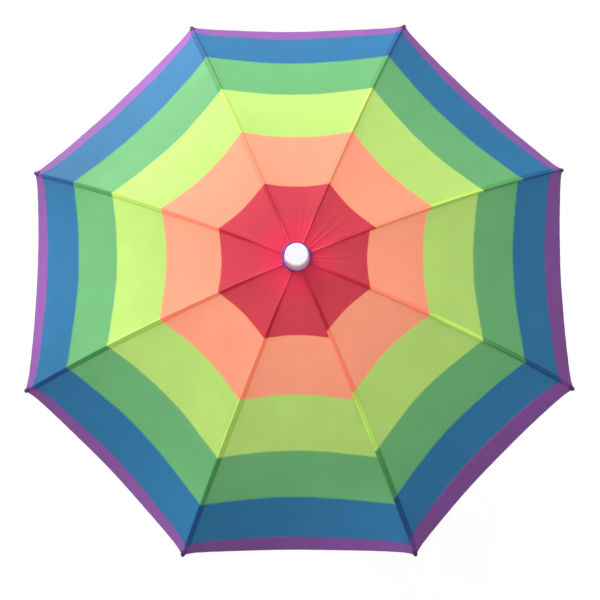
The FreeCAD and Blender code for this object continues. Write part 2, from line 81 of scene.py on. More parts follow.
CROWN_Z = pivot.z
BALL_R = 0.004  # of the ball on a rib's tip
START_SLOPE = math.radians(0.7)  # of a rib where it leaves the crown
TIP_R = (cad_box[1].x - BALL_R) / math.cos(FIRST)
TIP_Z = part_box("rib_tip_1")[0].z + BALL_R
# each rib is one circle's arc from the crown to its tip
CHORD = math.hypot(TIP_R - PIVOT_R, CROWN_Z - TIP_Z)
SWEEP = 2 * (math.atan2(CROWN_Z - TIP_Z, TIP_R - PIVOT_R) - START_SLOPE)
BEND = CHORD / (2 * math.sin(SWEEP / 2))
CENTRE_R = PIVOT_R - BEND * math.sin(START_SLOPE)
CENTRE_Z = CROWN_Z - BEND * math.cos(START_SLOPE)

# ---- the cloth's sizes, in metres; a share is a share of the tip radius ----
CLOTH_LIFT = 0.0034  # above the ribs' centre lines
NECK_R = 0.0205
HEM_R = 0.5942
NEAR_SEAM = 0.011  # how far a seam's pull reaches into the cloth beside it
CORNER_REACH = 0.0092  # share by which the hem's corners are drawn out to the tips
RING_EDGES = [0.2695, 0.476, 0.667, 0.824, 0.959]  # the colour rings' edges, as shares at the ribs
EDGE_BOWS = [0.040, 0.044, 0.041, 0.038, 0.033]  # how far each edge bends inward at mid-panel
HEM_BOW = 0.0175
STRIPES_IN = {7: 0.0225, 8: 0.021}  # two panels were sewn in with their stripes nearer the crown
EASE = {5: 0.005, 6: 0.011}  # two panels whose hem hangs straighter than the others'
BAND_PINCH = 0.0125  # how far the purple band narrows where it meets a rib
PINCH_FROM, PINCH_REACH = 0.88, 0.05  # shares: where that starts, and how far on it is full
PANEL_SAG = 0.010  # of the panel's width there
LOOSE = {4: 0.6, 5: 2.2, 6: 2.2, 7: 0.6}  # how much more these panels sag towards the hem
LOOSE_FROM, LOOSE_REACH = 0.6, 0.3  # shares: where that starts, and how far on it is full
UNEVEN_TONE = {  # panels whose outer rings change in tone across them: how much paler from one side to the other, and at both sides
    3: (-0.16, -0.04), 4: (0.0, -0.16), 5: (0.10, 0.05), 6: (0.18, 0.06), 7: (0.06, -0.03),
}
UNEVEN_FROM, UNEVEN_REACH = 0.74, 0.12  # shares: where that starts, and how far on it is full
LIT_STRIPS = {7: 0.42, 8: 0.38}  # painted highlight: how much lighter the seam strips of these ribs are where they are lime
LIT_STRIP_REACH = 0.10  # share to either side of the lime ring's middle
ROWS_PER_RING = [44, 34, 32, 28, 26, 10]
HALF_COLUMNS = 40  # mesh columns in half a panel
HEM_GAP = 0.0008  # between the cloth and its turned-under hem
SEAM_WIDTH = 0.0088  # the doubled strip beside each seam, on its counter-clockwise side
SEAM_RISE = 0.0010
SEAM_STOP = 0.004  # how far inside the hem the strip ends
POCKET_LENGTH = 0.013
ROSETTE_R = 0.0290


def spread(azimuth):
    """The level direction that points outward at an azimuth."""
    return np.array([math.cos(azimuth), math.sin(azimuth), 0.0])


def sideways(azimuth):
    """The level direction across a rib at an azimuth, counter-clockwise."""
    return np.array([-math.sin(azimuth), math.cos(azimuth), 0.0])


def rib_azimuth(number):
    return FIRST + PITCH * (number - 1)


def rib_slope(radius):
    """Slope below horizontal where the rib reaches a radius."""
    return np.arcsin((radius - CENTRE_R) / BEND)


def rib_height(radius, lift):
    """Height of the curve that lies a lift above the rib, over a radius."""
    return CENTRE_Z + np.sqrt((BEND + lift) ** 2 - (radius - CENTRE_R) ** 2)


def ripple(x, y, seed, octaves=2):
    """Smooth waves from a few sines, the same every run, about -1 to 1."""
    total = np.zeros(np.broadcast(x, y).shape)
    for octave in range(octaves):
        turn = seed * 1.7 + octave * 2.4
        step = 1.9 ** octave
        total = total + np.sin(step * (x * math.cos(turn) * 1.3 + x + y) + seed * 3.1 + octave) / step
        total = total + np.sin(step * (x - y * math.sin(turn)) + seed * 5.3) * 0.6 / step
    return total / 2.4


def ring_rows():
    """The cloth's rows from neck to hem, as shares of the tip radius, with a row on each ring's edge."""
    edges = [NECK_R / TIP_R] + RING_EDGES + [HEM_R / TIP_R]
    rows = []
    for low, high, count in zip(edges, edges[1:], ROWS_PER_RING):
        rows += list(np.linspace(low, high, count, endpoint=False))
    return np.array(rows + [edges[-1]])


def dye(panel, share, across):
    """Where the printed stripes lie: the ring scale at each point of the cloth."""
    near_hem = np.clip((share - PINCH_FROM) / PINCH_REACH, 0, 1)
    pinch = BAND_PINCH * np.exp(-seam_distance(share, across) / NEAR_SEAM) * near_hem
    return share + STRIPES_IN.get(panel, 0) - pinch


def uneven_tone(panel, share, across):
    """Uneven tone of the outer rings: a lean across the panel, and a cup that grows to its sides."""
    lean, cup = UNEVEN_TONE.get(panel, (0.0, 0.0))
    off_middle = 2 * across - 1
    outer = np.clip((share - UNEVEN_FROM) / UNEVEN_REACH, 0, 1)
    return (lean * off_middle + cup * off_middle ** 2) * outer


def strip_highlight(rib, share):
    """Painted highlight on a seam's strip, strongest in the middle of the lime ring."""
    middle = (RING_EDGES[1] + RING_EDGES[2]) / 2
    return LIT_STRIPS.get(rib, 0) * np.exp(-((share - middle) / LIT_STRIP_REACH) ** 4)


def drawn_out(share, across):
    """Rows between the last ring's edge and the hem, drawn out towards the tips at the corners."""
    band = (share - RING_EDGES[-1]) / (HEM_R / TIP_R - RING_EDGES[-1])
    to_seam = seam_distance(share, across)
    near, wide = np.exp(-to_seam / NEAR_SEAM), np.exp(-to_seam / 0.05)
    pull = near + 0.35 * wide
    return share + np.clip(band, -0.6, 1) ** 3 * CORNER_REACH * pull * (band > 0)


def bow(share, panel=0):
    """How far a row bends inward at mid-panel: less towards the hem."""
    bows = np.interp(share, RING_EDGES + [HEM_R / TIP_R], EDGE_BOWS + [HEM_BOW])
    return bows - EASE.get(panel, 0) * np.clip(share / RING_EDGES[-1], 0, 1) ** 3


def seam_distance(share, across):
    """Distance from the nearer of a panel's two seams."""
    return np.minimum(across, 1 - across) * 2 * share * TIP_R * math.sin(PITCH / 2)


def panel_points(panel, share, across):
    """Points of the panel between rib `panel` and the next, at rib shares and fractions across."""
    middle = np.sin(np.pi * across)
    radius = share * TIP_R * (1 - bow(share, panel) * middle)
    height = rib_height(radius, CLOTH_LIFT)
    left, right = spread(rib_azimuth(panel)), spread(rib_azimuth(panel + 1))
    flat = (1 - across)[..., None] * left + across[..., None] * right
    width = 2 * radius * math.sin(PITCH / 2)
    tent_drop, tent_reach = 0.0011, 0.012
    tent = tent_drop * (1 - np.exp(-seam_distance(share, across) / tent_reach))
    loose = 1 + LOOSE.get(panel, 0) * np.clip((share - LOOSE_FROM) / LOOSE_REACH, 0, 1)
    sag = PANEL_SAG * loose * width * 4 * across * (1 - across) + tent
    points = flat * radius[..., None]
    points[..., 2] = height - sag
    return points


def grid_normals(points):
    """Upward unit normals of a grid of points."""
    down = np.gradient(points, axis=0)
    over = np.gradient(points, axis=1)
    normals = np.cross(down, over)
    normals /= np.maximum(np.linalg.norm(normals, axis=-1, keepdims=True), 1e-12)
    return normals


def neck_creases(panel, share, across):
    """Sharp creases that fan out from the neck, deepest where most cloth was gathered in."""
    deepest_panel, creases, lean, depth, reach = 8.6, 3.4, 0.9, 0.0150, 0.135
    gathered = 0.2 + 0.8 * math.cos(0.5 * (panel - deepest_panel) * PITCH) ** 4
    uneven = 0.24 * np.sin(2.6 * math.pi * across + 1.9 * panel)
    turn = math.pi * (creases * across + uneven + lean * share) + 2.3 * panel
    crest = 1 - np.abs(np.sin(turn)) ** 0.7
    return crest * gathered * depth * share * np.exp(-(share / reach) ** 2)


def wrinkles(panel, share, across):
    """Height of the cloth's wrinkles: long ones from neck and corners, short ones along the seams."""
    slack_depth, pulled_depth, pucker_depth = 0.0011, 0.0009, 0.0004
    free = np.sin(np.pi * np.clip(across, 0, 1)) ** 0.8
    to_seam = seam_distance(share, across)
    fan = neck_creases(panel, share, across)
    slack = ripple(across * 6, share * 4.5, panel * 2.1) * slack_depth * share
    corner = np.exp(-((1 - share) / 0.16)) * np.exp(-to_seam / 0.07)
    slant = (to_seam * 0.75 + (1 - share) * TIP_R * 0.35) * 260
    pulled = np.sin(slant + panel) * pulled_depth * corner
    pucker = ripple(share * 120, across * 3, panel * 1.3 + 0.7) * pucker_depth
    pucker = pucker * np.exp(-to_seam / NEAR_SEAM)
    off_seam = np.clip(to_seam / 0.004, 0, 1)  # on the seam itself the two panels meet exactly
    return (fan + slack + pulled) * free + pucker * off_seam


def cloth_points(panel, share, across):
    """The finished cloth: the panel's points with their wrinkles."""
    points = panel_points(panel, share, across)
    return points + grid_normals(points) * wrinkles(panel, share, across)[..., None]


# ---- meshes ----
def make_piece(name, points, faces, material, normals=None, values=None):
    """A smooth mesh object, with its own normals and values at its points where they are given."""
    mesh = bpy.data.meshes.new(name)
    mesh.from_pydata([tuple(p) for p in points], [], [tuple(f) for f in faces])
    mesh.polygons.foreach_set("use_smooth", [True] * len(mesh.polygons))
    for key, numbers in (values or {}).items():
        attribute = mesh.attributes.new(key, "FLOAT", "POINT")
        attribute.data.foreach_set("value", np.asarray(numbers, np.float32))
    if normals is not None:
        mesh.normals_split_custom_set_from_vertices([tuple(n) for n in normals])
    mesh.materials.append(material)
    piece = bpy.data.objects.new(name, mesh)
    bpy.context.scene.collection.objects.link(piece)
    return piece


def grid_faces(rows, columns, closed=False):
    """Four-sided faces over rows of points; closed joins each row's end to its start."""
    faces = []
    for i in range(rows - 1):
        for j in range(columns if closed else columns - 1):
            k = (j + 1) % columns
            faces.append((i * columns + j, (i + 1) * columns + j,
                          (i + 1) * columns + k, i * columns + k))
    return faces


def tube_piece(name, rings, material, capped=False):
    """A skin through rings of points, each ring closed."""
    count = len(rings[0])
    points = [point for ring in rings for point in ring]
    faces = grid_faces(len(rings), count, closed=True)
    if capped:
        faces.append(tuple(range(count)))
        faces.append(tuple(reversed(range(len(points) - count, len(points)))))
    return make_piece(name, points, faces, material)


# ---- materials ----
def srgb(red, green, blue):
    """An ordinary screen colour, 0 to 255, as the linear colour that shaders use."""
    linear = [
        c / 255 / 12.92 if c <= 10 else ((c / 255 + 0.055) / 1.055) ** 2.4
        for c in (red, green, blue)
    ]
    return (*linear, 1.0)


class Shader:
    """A material's node tree, with short calls to add and join nodes."""

    def __init__(self, name):
        self.material = bpy.data.materials.new(name)
        self.material.use_nodes = True
        self.tree = self.material.node_tree
        self.tree.nodes.clear()

    def add(self, kind, sockets=None, **settings):
        made = self.tree.nodes.new(kind)
        for key, value in settings.items():
            setattr(made, key, value)
        for key, value in (sockets or {}).items():
            if isinstance(value, bpy.types.NodeSocket):
                self.tree.links.new(value, made.inputs[key])
            else:
                made.inputs[key].default_value = value
        return made

    def math(self, operation, first, second=0.0):
        return self.add("ShaderNodeMath", {0: first, 1: second}, operation=operation).outputs[0]

    def mix(self, factor, first, second, blend="MIX"):
        made = self.add("ShaderNodeMix", data_type="RGBA", blend_type=blend)
        for index, value in ((0, factor), (6, first), (7, second)):
            if isinstance(value, bpy.types.NodeSocket):
                self.tree.links.new(value, made.inputs[index])
            else:
                made.inputs[index].default_value = value
        return made.outputs[2]

    def ramp(self, factor, stops, interpolation="LINEAR"):
        made = self.add("ShaderNodeValToRGB", {0: factor})
        made.color_ramp.interpolation = interpolation
        while len(made.color_ramp.elements) < len(stops):
            made.color_ramp.elements.new(0.5)
        for element, (place, colour) in zip(made.color_ramp.elements, stops):
            element.position = place
            element.color = colour if hasattr(colour, "__len__") else (colour, colour, colour, 1)
        return made.outputs[0]

    def attribute(self, name):
        return self.add("ShaderNodeAttribute", attribute_name=name).outputs["Fac"]

    def noise(self, scale, detail=3.0, roughness=0.55, vector=None):
        sockets = {"Scale": scale, "Detail": detail, "Roughness": roughness}
        if vector is None:
            vector = self.add("ShaderNodeTexCoord").outputs["Object"]
        return self.add("ShaderNodeTexNoise", {**sockets, "Vector": vector}).outputs[0]

    def bump(self, height, strength, distance, normal=None):
        sockets = {"Height": height, "Strength": strength, "Distance": distance}
        if normal is not None:
            sockets["Normal"] = normal
        return self.add("ShaderNodeBump", sockets).outputs[0]

    def finish(self, surface):
        self.add("ShaderNodeOutputMaterial", {"Surface": surface})
        return self.material


RING_COLOURS = [  # from the crown out to the hem
    srgb(223, 69, 86),
    srgb(255, 166, 136),
    srgb(195, 234, 123),
    srgb(113, 186, 122),
    srgb(50, 121, 169),
    srgb(165, 106, 187),
]
SHADED_SEAM_COLOURS = [  # two layers of cloth, one over the other, painted darker and deeper than the rings as shade for the light the two layers hold back
    srgb(204, 40, 60),
    srgb(255, 146, 112),
    srgb(192, 232, 106),
    srgb(84, 160, 92),
    srgb(24, 88, 146),
    srgb(128, 68, 152),
]
# Painted light: a brighter red round the crown, standing in for light from the white hub below
LIT_RED_CENTRE = srgb(242, 60, 90)
LIT_CENTRE_ENDS, RED_FROM = 0.10, 0.17  # shares between which the painted light round the crown gives way to the ring's red
EDGE_BLUR = 0.0011  # share over which one ring's dye runs into the next
THREAD_PITCH = 0.0007  # of the cloth's weave
BLEED_COLOURS = [  # where two dyes overlap
    srgb(226, 70, 66),
    srgb(255, 196, 96),
    srgb(176, 226, 110),
    srgb(84, 176, 130),
    srgb(84, 74, 168),
]


def ring_colour(shader, colours=RING_COLOURS):
    """Colour by ring, from the cloth's own ring scale, with dye that wanders a little."""
    share = shader.attribute("dye")
    wanders = ((55.0, 0.0022), (12.0, 0.0075))  # how fine, and how far
    for scale, reach in wanders:
        wander = shader.math("SUBTRACT", shader.noise(scale, 2.0), 0.5)
        share = shader.math("ADD", share, shader.math("MULTIPLY", wander, reach))
    # painted light: the brighter red round the crown comes first, then the rings' dyes
    stops = [(0.0, LIT_RED_CENTRE), (LIT_CENTRE_ENDS, LIT_RED_CENTRE), (RED_FROM, colours[0])]
    for edge, inside, bleed, outside in zip(RING_EDGES, colours, BLEED_COLOURS, colours[1:]):
        stops += [(edge - 2 * EDGE_BLUR, inside), (edge, bleed), (edge + EDGE_BLUR, outside)]
    return shader.ramp(share, stops)


def orange_painted_glow(shader):
    """Painted glow: a fixed red emission on the orange ring that keeps it bright in shade, partly the
    fluorescent dye's own brightness.
    """
    dark, painted_glow = (0.0, 0.0, 0.0, 1.0), (0.20, 0.02, 0.0, 1.0)
    inner, outer = RING_EDGES[:2]
    return shader.ramp(shader.attribute("dye"), [
        (inner, dark), (inner + EDGE_BLUR, painted_glow), (outer - EDGE_BLUR, painted_glow), (outer, dark)])


def seam_colour(shader):
    """The doubled cloth's colour, with painted shade along the crease at the strip's free edge."""
    # painted shade in the crease: the colour falls to 0.64 at the strip's free edge
    crease = shader.ramp(shader.attribute("crease"), [(0.0, 1.0), (1.0, 0.64)])
    # the strips' painted shade: ring colours darkened for the doubled cloth
    return shader.mix(1.0, ring_colour(shader, SHADED_SEAM_COLOURS), crease, "MULTIPLY")


def weave_bump(shader, strength):
    """Fine plain weave across and along the cloth, over a slightly uneven hand."""
    threads = []
    for name in ("along", "across"):
        phase = shader.math("MULTIPLY", shader.attribute(name), 2 * math.pi / THREAD_PITCH)
        threads.append(shader.math("SINE", phase))
    weave = shader.math("MULTIPLY", threads[0], threads[1])
    fine = shader.bump(weave, strength, 0.00006)
    return shader.bump(shader.noise(28.0, 3.0), 0.25, 0.0012, fine)


def cloth_material(name, colour_of, see_through=0.34):
    """Satin polyester: soft sheen on top, and light from behind shining through."""
    shader = Shader(name)
    mottle = shader.ramp(shader.noise(14.0, 4.0), [(0.3, 0.93), (0.7, 1.0)])
    colour = shader.mix(1.0, colour_of(shader), mottle, "MULTIPLY")
    # the uneven tone of the outer rings, and the painted highlight on some seam strips, scale the colour
    toned = shader.math("ADD", shader.attribute("tone_and_highlight"), 1.0)
    colour = shader.mix(1.0, colour, toned, "MULTIPLY")
    normal = weave_bump(shader, 0.5)
    body = shader.add("ShaderNodeBsdfPrincipled", {
        "Base Color": colour, "Roughness": 0.55, "Specular IOR Level": 0.17,
        "Sheen Weight": 0.02, "Sheen Roughness": 0.5, "Normal": normal,
        # painted glow on the orange ring
        "Emission Color": orange_painted_glow(shader), "Emission Strength": 1.0,
    })
    behind = shader.add("ShaderNodeBsdfTranslucent", {"Color": colour, "Normal": normal})
    blend = shader.add("ShaderNodeMixShader", {
        0: see_through, 1: body.outputs[0], 2: behind.outputs[0],
    })
    return shader.finish(blend.outputs[0])


def purple_colour(shader):
    """The rosette's cloudy purple."""
    return shader.mix(shader.noise(60.0, 2.0), srgb(120, 50, 158), srgb(156, 80, 186))


def darker(colour, share):
    """A colour at a share of its brightness."""
    return tuple(c * share for c in colour[:3]) + (1.0,)


def moulded_material(name, colour, roughness, bump=0.15):
    """Moulded plastic: a faint sparkle of texture, and scuffs that dull it unevenly."""
    shader = Shader(name)
    speckle = shader.noise(900.0, 2.0)
    scuffs = shader.ramp(shader.noise(45.0, 4.0), [(0.35, 0.0), (0.75, 1.0)])
    tone = shader.mix(scuffs, colour, darker(colour, 0.86))
    rough = shader.math("MULTIPLY", shader.noise(70.0, 4.0), 0.18)
    rough = shader.math("ADD", rough, roughness - 0.09)
    body = shader.add("ShaderNodeBsdfPrincipled", {
        "Base Color": tone, "Roughness": rough, "Normal": shader.bump(speckle, bump, 0.0003),
    })
    return shader.finish(body.outputs[0])


def cap_material(name):
    """Polished white plastic, with painted shade: greyer and bluer down the cap's side, whitest on top.
    """
    shader = Shader(name)
    low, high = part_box("top_cap")
    place = shader.add("ShaderNodeTexCoord").outputs["Object"]
    height = shader.add("ShaderNodeSeparateXYZ", {0: place}).outputs["Z"]
    share = shader.math("DIVIDE", shader.math("SUBTRACT", height, low.z), high.z - low.z)
    # painted shade: darker and bluer from the top down the side
    shaded_side, middle, crown = srgb(178, 174, 216), srgb(214, 211, 238), srgb(250, 248, 255)
    tone = shader.ramp(share, [(0.0, shaded_side), (0.6, middle), (0.95, crown)])
    cloud = shader.ramp(shader.noise(90.0, 3.0), [(0.3, 0.97), (0.7, 1.0)])
    tone = shader.mix(1.0, tone, cloud, "MULTIPLY")
    rough = shader.math("ADD", shader.math("MULTIPLY", shader.noise(70.0, 4.0), 0.18), 0.16)
    body = shader.add("ShaderNodeBsdfPrincipled", {
        "Base Color": tone, "Roughness": rough, "Coat Weight": 0.4, "Coat Roughness": 0.12,
        "Normal": shader.bump(shader.noise(900.0, 2.0), 0.05, 0.0003),
    })
    return shader.finish(body.outputs[0])


def painted_material(name, colour, roughness=0.3):
    """Gloss enamel on steel: orange peel, and small chips of duller tone."""
    shader = Shader(name)
    peel = shader.noise(260.0, 2.0)
    worn = shader.ramp(shader.noise(120.0, 5.0, 0.7), [(0.70, 0.0), (0.76, 1.0)])
    tone = shader.mix(shader.math("MULTIPLY", worn, 0.35), colour, srgb(150, 150, 152))
    rough = shader.math("ADD", shader.math("MULTIPLY", worn, 0.25), roughness)
    body = shader.add("ShaderNodeBsdfPrincipled", {
        "Base Color": tone, "Roughness": rough, "Coat Weight": 0.4, "Coat Roughness": 0.1,
        "Normal": shader.bump(peel, 0.12, 0.0004),
    })
    return shader.finish(body.outputs[0])


def steel_material(name, colour, roughness=0.32):
    """Zinc-plated steel: cloudy plating with fine drawn lines."""
    shader = Shader(name)
    place = shader.add("ShaderNodeTexCoord").outputs["Object"]
    along = {"Vector": place, "Scale": (1.0, 1.0, 0.06)}
    stretched = shader.add("ShaderNodeMapping", along).outputs[0]
    lines = shader.noise(1400.0, 2.0, vector=stretched)
    cloud = shader.noise(160.0, 3.0)
    tone = shader.mix(cloud, colour, darker(colour, 0.8))
    rough = shader.math("ADD", shader.math("MULTIPLY", lines, 0.2), roughness - 0.1)
    body = shader.add("ShaderNodeBsdfPrincipled", {
        "Base Color": tone, "Metallic": 1.0, "Roughness": rough,
        "Normal": shader.bump(lines, 0.1, 0.0002),
    })
    return shader.finish(body.outputs[0])


def thread_material(name, colour_of):
    """Twisted sewing thread, slanted plies along its length."""
    shader = Shader(name)
    ply = shader.noise(1800.0, 1.0)
    dyed = shader.add("ShaderNodeGamma", {"Color": colour_of(shader), "Gamma": 1.7}).outputs[0]
    tone = shader.mix(1.0, dyed, shader.ramp(ply, [(0.3, 1.0), (0.7, 0.6)]), "MULTIPLY")
    body = shader.add("ShaderNodeBsdfPrincipled", {
        "Base Color": tone, "Roughness": 0.6, "Sheen Weight": 0.3,
        "Normal": shader.bump(ply, 0.4, 0.0002),
    })
    return shader.finish(body.outputs[0])


cloth = cloth_material("striped_cloth", ring_colour)
seam_cloth = cloth_material("seam_cloth", seam_colour, see_through=0.06)
purple_cloth = cloth_material("purple_cloth", purple_colour, see_through=0.2)
pocket_cloth = cloth_material("pocket_cloth", lambda shader: shader.mix(
    shader.noise(70.0, 2.0), srgb(96, 44, 118), srgb(116, 62, 138)), see_through=0.2)
pole_paint = painted_material("pole_paint", srgb(158, 160, 166))
rib_paint = painted_material("rib_paint", srgb(58, 58, 62), 0.38)
white_plastic = moulded_material("white_plastic", srgb(182, 183, 189), 0.42)
grey_plastic = moulded_material("grey_plastic", srgb(82, 84, 90), 0.5, 0.3)
cap_plastic = cap_material("cap_plastic")
tip_plastic = moulded_material("tip_plastic", srgb(38, 36, 42), 0.35)
zinc = steel_material("zinc", srgb(196, 198, 204))
thread = thread_material("dyed_thread", ring_colour)
thread_plain = thread_material("plain_thread", lambda shader: shader.mix(
    shader.noise(90.0, 2.0), srgb(206, 204, 210), srgb(232, 230, 236)))

NODE_MATERIALS = {
    "pole_tube": pole_paint, "ground_spike": grey_plastic, "height_collar": white_plastic,
    "clamp_knob": grey_plastic, "bush": white_plastic, "tilt_yoke": white_plastic,
    "tilt_tongue": white_plastic, "tilt_pin": zinc, "tilt_button": grey_plastic,
    "tilt_spring": zinc, "runner_catch": zinc, "crown_hub": white_plastic, "crown_wire": zinc,
    "top_cap": cap_plastic, "runner_wire": zinc, "runner": white_plastic, "rib_tip": tip_plastic,
    "rib_joiner": zinc, "rib_": rib_paint, "strut_": rib_paint,
}


def finish_cad_nodes():
    """Gives every CAD node that shows its finish; the first name that fits is used."""
    for name, piece in frame["nodes"].items():
        material = next((m for part, m in NODE_MATERIALS.items() if part in name), None)
        if material is not None:
            piece.data.materials.clear()
            piece.data.materials.append(material)


def hem_fold(panel):
    """How many rows the hem is turned under: as far as the purple band reaches."""
    blue_row = (RING_EDGES[-1] - RING_EDGES[-2]) / ROWS_PER_RING[-2]
    return ROWS_PER_RING[-1] + round(STRIPES_IN.get(panel, 0) / blue_row)


def outward(points):
    """Unit directions that lead out of the hem, in the cloth."""
    out = points[-1] - points[-2]
    return out / np.linalg.norm(out, axis=-1, keepdims=True)


def hem_rows(panel, points, normals):
    """Rows that turn the hem under: over the edge, and back under the purple band."""
    out = outward(points)
    turn = points[-1] + out * HEM_GAP / 2 - normals[-1] * HEM_GAP / 2
    under = [points[-1 - row] - normals[-1 - row] * HEM_GAP for row in range(hem_fold(panel) + 1)]
    return [turn] + under


def build_panel(panel):
    """All the cloth of one panel, as grids of points, normals and values."""
    rows = ring_rows()
    columns = np.linspace(0, 1, 2 * HALF_COLUMNS + 1)
    share, across = np.meshgrid(rows, columns, indexing="ij")
    points = cloth_points(panel, drawn_out(share, across), across)
    return share, across, points, grid_normals(points)


CUT_NAMES = ["neck", "scarlet", "red", "amber", "orange", "lime", "green", "blue"]


def cut_row_spans():
    """First and last row of each cut: red has three cuts, orange two, and blue keeps its hem."""
    red, orange, lime, green, _, hem = np.cumsum(ROWS_PER_RING)
    scarlet_row, red_row, rows_of_amber = 10, 24, 18
    starts = [0, scarlet_row, red_row, red, red + rows_of_amber, orange, lime, green, hem]
    return list(zip(starts, starts[1:]))


def cloth_piece(name, panel, share, across, points, normals, hem):
    """One cut of the cloth; a hem cut also carries its turned-under rows."""
    rows, ups, shares = list(points), list(normals), list(share)
    if hem:
        folded = hem_rows(panel, points, normals)
        rows += folded
        ups += [outward(points)] + [-normals[-1]] * (len(folded) - 1)
        shares += [share[-1]] * len(folded)
    rows, ups, shares = np.array(rows), np.array(ups), np.array(shares)
    width = 2 * shares * TIP_R * math.sin(PITCH / 2)
    fraction = np.broadcast_to(across[0], shares.shape)
    scale = dye(panel, shares, fraction)
    if hem:
        scale[-len(folded):] = 1.0
    values = {
        "dye": scale.ravel(),
        "tone_and_highlight": uneven_tone(panel, shares, fraction).ravel(),
        "along": (shares * TIP_R).ravel(),
        "across": (width * fraction).ravel(),
    }
    faces = grid_faces(rows.shape[0], rows.shape[1])
    return make_piece(name, rows.reshape(-1, 3), faces, cloth, ups.reshape(-1, 3), values)


def canopy():
    """Every cut of the cloth, each riding on the rib that it is sewn to."""
    first_half, second_half = slice(0, HALF_COLUMNS + 1), slice(HALF_COLUMNS, None)
    for panel in range(1, RIBS + 1):
        share, across, points, normals = build_panel(panel)
        following = panel % RIBS + 1
        for side, rib, cut in (("a", panel, first_half), ("b", following, second_half)):
            for ring, (low, high) in zip(CUT_NAMES, cut_row_spans()):
                part = slice(low, high + 1)
                piece = cloth_piece(
                    f"cloth_{panel}{side}_{ring}", panel, share[part, cut], across[part, cut],
                    points[part, cut], normals[part, cut], ring == "blue")
                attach(piece, f"rib_{rib}")
                declare_cloth(piece, panel, share[part, cut])
                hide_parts(f"canopy_sector_{rib}")
                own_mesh(piece)


def declare_cloth(piece, panel, share):
    """Works out the piece's flat cut, half a gore's width at its outer edge and its length along the rib,
    but keeps nothing of it.
    """
    low, high = share[0, 0] * TIP_R, share[-1, 0] * TIP_R
    length = BEND * float(rib_slope(high) - rib_slope(low))
    wide, narrow = high * math.sin(PITCH / 2), low * math.sin(PITCH / 2)
    area = (wide + narrow) / 2 * length * math.cos(PITCH / 2)
    if piece.name.endswith("blue"):
        fold = BEND * float(rib_slope(high) - rib_slope(share[-1 - hem_fold(panel), 0] * TIP_R))
        area += wide * fold
        length += fold


def seam_strip(rib):
    """The doubled strip that covers a seam: a lip along the rib, then a slope down onto the panel."""
    profile = [  # share of the strip's width, share of its rise
        (-0.34, -0.12), (-0.22, 0.34), (-0.10, 0.74), (0.02, 0.96), (0.14, 1.0), (0.30, 0.86),
        (0.50, 0.66), (0.70, 0.48), (0.84, 0.38), (0.93, 0.30), (0.98, 0.12), (1.0, -0.12),
    ]
    rows = ring_rows()
    rows = rows[rows * TIP_R < HEM_R - SEAM_STOP]
    share, aside = np.meshgrid(rows, [place for place, rise in profile], indexing="ij")
    taper = np.clip(0.34 + share * 1.4, 0, 1)
    distance = aside * SEAM_WIDTH * taper
    width = 2 * share * TIP_R * math.sin(PITCH / 2)
    before, after = (rib - 2) % RIBS + 1, rib
    own = cloth_points(after, share, np.maximum(distance, 0) / width)
    other = cloth_points(before, share, 1 - np.maximum(-distance, 0) / width)
    points = np.where((distance < 0)[..., None], other, own)
    rise = np.array([rise for place, rise in profile]) * SEAM_RISE * (0.6 + 0.4 * taper)
    gather = 1 + 0.22 * ripple(share * 150, aside * 1.5, rib * 1.9)
    points = points + grid_normals(points) * (rise * gather)[..., None]
    # where the painted crease shade lies: none before 0.90 of the strip's width, full at its free edge
    crease = np.interp(aside, [0.90, 0.97, 1.0], [0, 0.7, 1])
    values = {
        "dye": dye(after, share, np.maximum(distance, 0) / width).ravel(),
        "along": (share * TIP_R).ravel(), "across": distance.ravel(), "crease": crease.ravel(),
        # painted highlight on the strips of ribs 7 and 8, in the lime ring
        "tone_and_highlight": strip_highlight(rib, share).ravel(),
    }
    piece = make_piece(f"seam_{rib}", points.reshape(-1, 3), grid_faces(*share.shape), seam_cloth,
                       values=values)
    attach(piece, f"rib_{rib}")
    stitches(rib, points, share)


def stitches(rib, points, share):
    """Two rows of short thread stitches along a seam's strip."""
    pitch, length, half_width, height = 0.0036, 0.0026, 0.00022, 0.0003
    seam_start, stitched_columns = 0.004, (3, 8)
    corners, faces, shares = [], [], []
    normals = grid_normals(points)
    for column in stitched_columns:
        line, up, row_share = points[:, column], normals[:, column], share[:, column]
        steps = np.concatenate([[0], np.cumsum(np.linalg.norm(np.diff(line, axis=0), axis=1))])

        def at(distance, of):
            return np.array([np.interp(distance, steps, of[:, axis]) for axis in range(3)])

        for start in np.arange(seam_start, steps[-1] - length, pitch):
            first, last = at(start, line), at(start + length, line)
            lift = at(start + length / 2, up) * height
            side = np.cross(last - first, lift)
            side *= half_width / np.linalg.norm(side)
            middle = (first + last) / 2 + lift
            base = len(corners)
            corners += [first, middle + side, last, middle - side, middle + lift]
            faces += [(base, base + 1, base + 4), (base + 1, base + 2, base + 4),
                      (base + 2, base + 3, base + 4), (base + 3, base, base + 4)]
            shares += [float(np.interp(start, steps, row_share))] * 5
    scale = dye(rib, np.array(shares), np.zeros(len(shares)))
    piece = make_piece(f"stitches_{rib}", corners, faces, thread, values={"dye": scale})
    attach(piece, f"rib_{rib}")


def rib_place(rib, slope, aside, lift):
    """A point beside and above a rib's centre line, at a slope along its bend."""
    azimuth = rib_azimuth(rib)
    reach = BEND + lift
    point = spread(azimuth) * (CENTRE_R + reach * math.sin(slope)) + sideways(azimuth) * aside
    point[2] = CENTRE_Z + reach * math.cos(slope)
    return point


